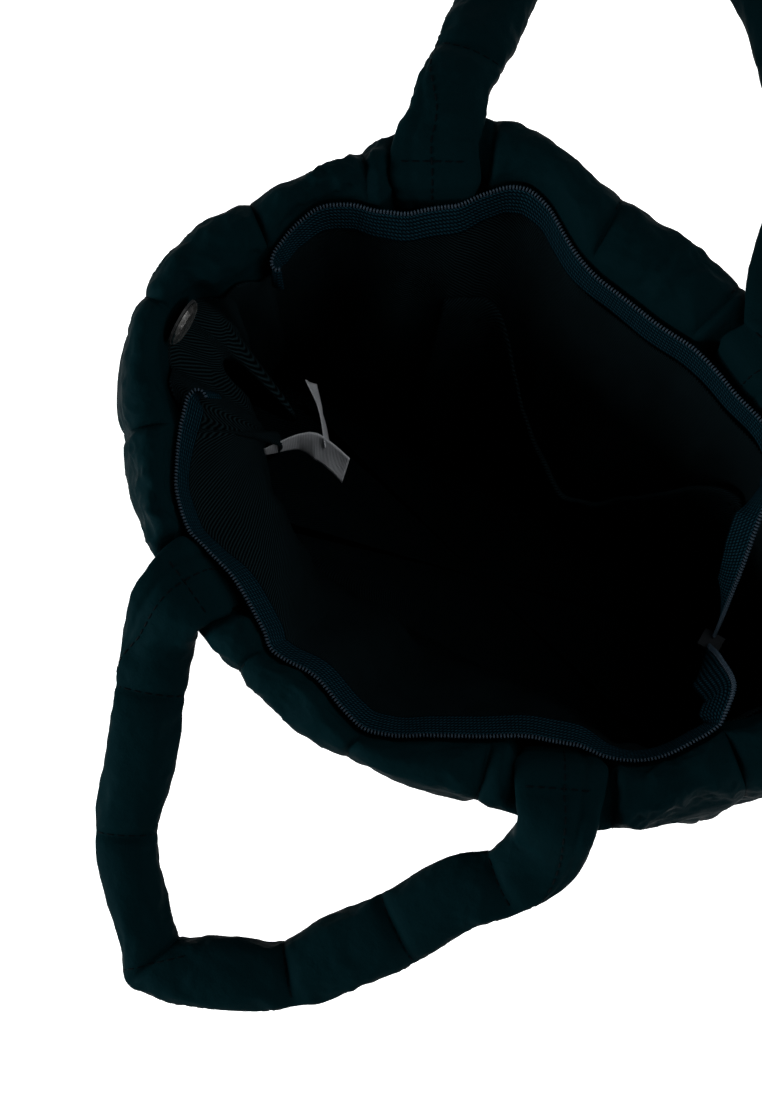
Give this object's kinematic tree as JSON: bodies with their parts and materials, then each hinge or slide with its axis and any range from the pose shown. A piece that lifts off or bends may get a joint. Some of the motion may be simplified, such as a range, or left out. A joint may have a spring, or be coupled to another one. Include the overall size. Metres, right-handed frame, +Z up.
{
  "type": "pillow bag",
  "caption": "Soft padded tote quilted in squares, standing open, with tube handles flopped outward, an open zip, a lining and a slip pocket.",
  "frame": {"origin": "on the floor under the middle of the flat base", "axes": "+Z up, +X towards the right end, -Y towards the front panel whose handle flops forward"},
  "size_m": [0.32, 0.4959, 0.2641],
  "materials": {
    "shell_nylon": "smooth nylon with a soft sheen, near-black navy",
    "lining_twill": "matt dark twill",
    "zip_tape": "woven tape, dark blue",
    "zip_coil": "moulded nylon coil",
    "slider_metal": "satin",
    "snap_washer": "dark ring under the cap",
    "snap_metal": "polished silver",
    "label_satin": "blank pale grey satin"
  },
  "bodies": {
    "root": {"front_panel": "shell_nylon", "back_panel": "shell_nylon", "left_gusset": "shell_nylon", "right_gusset": "shell_nylon", "base_panel": "shell_nylon", "handle_front": "shell_nylon", "handle_back": "shell_nylon", "lining": "lining_twill", "slip_pocket": "lining_twill", "zip_tape_front": "zip_tape", "zip_tape_back": "zip_tape", "zip_coil_front": "zip_coil", "zip_coil_back": "zip_coil", "zip_slider": "slider_metal", "snap_washer": "snap_washer", "snap_cap": "snap_metal", "label_leaf_lower": "label_satin", "label_leaf_upper": "label_satin"}
  },
  "joints": []
}
